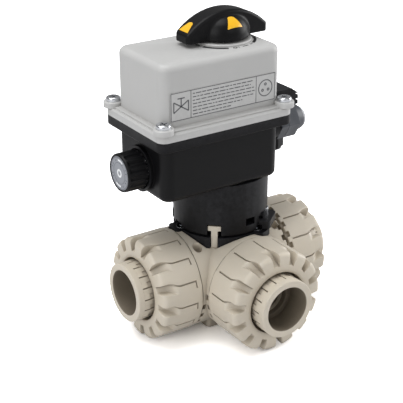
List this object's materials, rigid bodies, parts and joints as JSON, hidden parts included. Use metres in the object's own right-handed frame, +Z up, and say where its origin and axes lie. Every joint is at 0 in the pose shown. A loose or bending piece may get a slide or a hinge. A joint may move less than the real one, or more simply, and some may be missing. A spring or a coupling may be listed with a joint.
{
  "type": "motorized three-way ball valve",
  "caption": "Electric quarter-turn actuator on a plastic three-way true-union ball valve, with position knob, hand drive, cable gland and plug connector.",
  "frame": {"origin": "centre of the foot face, straight below the point where the port axes and the stem axis cross", "axes": "+Z up along the stem, run ports on -X and +X, branch port on -Y"},
  "size_m": [0.161, 0.115, 0.223],
  "materials": {
    "beige_polypropylene": "moulded, satin",
    "ptfe": "turned",
    "sealing_rubber": "moulded",
    "insert_brass": "turned",
    "black_plastic": "fine satin moulding",
    "bright_steel": "bright plated",
    "grey_plastic": "fine satin moulding",
    "yellow_plastic": "smooth",
    "gear_steel": "hobbed and oiled",
    "bush_bronze": "sintered",
    "cam_plastic": "moulded",
    "switch_plastic": "moulded",
    "zinc_plate": "zinc plated sheet",
    "board_laminate": "solder mask",
    "motor_can": "drawn can",
    "silver_foil": "printed foil",
    "dark_grey_plastic": "moulded",
    "light_grey_plastic": "moulded"
  },
  "bodies": {
    "valve_and_housing": {"valve_body": "beige_polypropylene", "ball_seats": "ptfe", "seat_carriers": "beige_polypropylene", "end_connector_left": "beige_polypropylene", "end_connector_right": "beige_polypropylene", "end_connector_branch": "beige_polypropylene", "face_orings": "sealing_rubber", "foot_inserts": "insert_brass", "base_plate": "black_plastic", "mounting_module": "black_plastic", "module_screws": "bright_steel", "flange_bolts": "bright_steel", "lower_housing": "black_plastic", "cover": "grey_plastic", "cover_gasket": "sealing_rubber", "cover_screws": "bright_steel", "dial_ring": "grey_plastic", "shaft_seal": "sealing_rubber", "label_plate": "grey_plastic", "shaft_bush": "bush_bronze", "intermediate_axle": "bright_steel", "gear_plate": "zinc_plate", "plate_screws": "bright_steel", "upper_bush": "bush_bronze", "motor": "motor_can", "microswitches": "switch_plastic", "switch_bracket": "zinc_plate", "circuit_board": "board_laminate", "terminal_block": "switch_plastic", "handwheel_spring": "bright_steel", "handwheel_bush": "bush_bronze", "gland_body": "dark_grey_plastic", "gland_seal": "sealing_rubber", "gland_cap": "light_grey_plastic", "din_base": "black_plastic", "din_gasket": "sealing_rubber", "din_connector": "black_plastic", "din_screw": "bright_steel"},
    "output": {"ball": "beige_polypropylene", "stem": "beige_polypropylene", "stem_orings": "sealing_rubber", "drive_bush": "bright_steel", "output_shaft": "bright_steel", "output_gear": "gear_steel", "cams": "cam_plastic", "indicator_knob": "black_plastic", "knob_markers": "yellow_plastic"},
    "intermediate": {"intermediate_gear": "gear_steel", "bevel_gear": "gear_steel"},
    "motor_rotor": {"motor_pinion": "gear_steel"},
    "push_washer": {"spring_washer": "bright_steel"},
    "hand_drive": {"handwheel": "black_plastic", "handwheel_disc": "silver_foil", "handwheel_shaft": "bright_steel", "handwheel_pinion": "gear_steel"},
    "nut_left": {"union_nut_left": "beige_polypropylene"},
    "nut_right": {"union_nut_right": "beige_polypropylene"},
    "nut_branch": {"union_nut_branch": "beige_polypropylene"},
    "gland_clamp": {"gland_nut": "dark_grey_plastic"},
    "plug_clamp": {"din_cable_nut": "black_plastic"}
  },
  "joints": [
    {"name": "output_turn", "type": "hinge", "parent": "valve_and_housing", "child": "output", "pos_m": [0, 0, 0.197], "axis": [0, 0, 1], "range_deg": [0, 90]},
    {"name": "intermediate_turn", "type": "hinge", "parent": "valve_and_housing", "child": "intermediate", "pos_m": [-0.02577, -0.004, 0.132], "axis": [0, 0, 1], "range_deg": [-300.5, 0.5]},
    {"name": "motor_turn", "type": "hinge", "parent": "valve_and_housing", "child": "motor_rotor", "pos_m": [-0.04295, -0.004, 0.137], "axis": [0, 0, 1], "range_deg": [-0.5, 1125.5]},
    {"name": "handwheel_push", "type": "slide", "parent": "valve_and_housing", "child": "push_washer", "axis": [1, 0, 0], "range_m": [0, 0.004]},
    {"name": "handwheel_spin", "type": "hinge", "parent": "push_washer", "child": "hand_drive", "pos_m": [-0.075, -0.004, 0.1275], "axis": [1, 0, 0], "continuous": true},
    {"name": "nut_left_spin", "type": "hinge", "parent": "valve_and_housing", "child": "nut_left", "pos_m": [-0.05, 0, 0.037], "axis": [-1, 0, 0], "continuous": true},
    {"name": "nut_right_spin", "type": "hinge", "parent": "valve_and_housing", "child": "nut_right", "pos_m": [0.05, 0, 0.037], "axis": [1, 0, 0], "continuous": true},
    {"name": "nut_branch_spin", "type": "hinge", "parent": "valve_and_housing", "child": "nut_branch", "pos_m": [0, -0.05, 0.037], "axis": [0, -1, 0], "continuous": true},
    {"name": "gland_nut_spin", "type": "hinge", "parent": "valve_and_housing", "child": "gland_clamp", "pos_m": [0.043, -0.015, 0.142], "axis": [1, 0, 0], "continuous": true},
    {"name": "plug_nut_spin", "type": "hinge", "parent": "valve_and_housing", "child": "plug_clamp", "pos_m": [0.0475, 0.007, 0.12], "axis": [0, 0, -1], "continuous": true}
  ],
  "couplings": [
    {"joint": "intermediate_turn", "follows": "output_turn", "ratio": -3.3333},
    {"joint": "motor_turn", "follows": "output_turn", "ratio": 12.5}
  ]
}
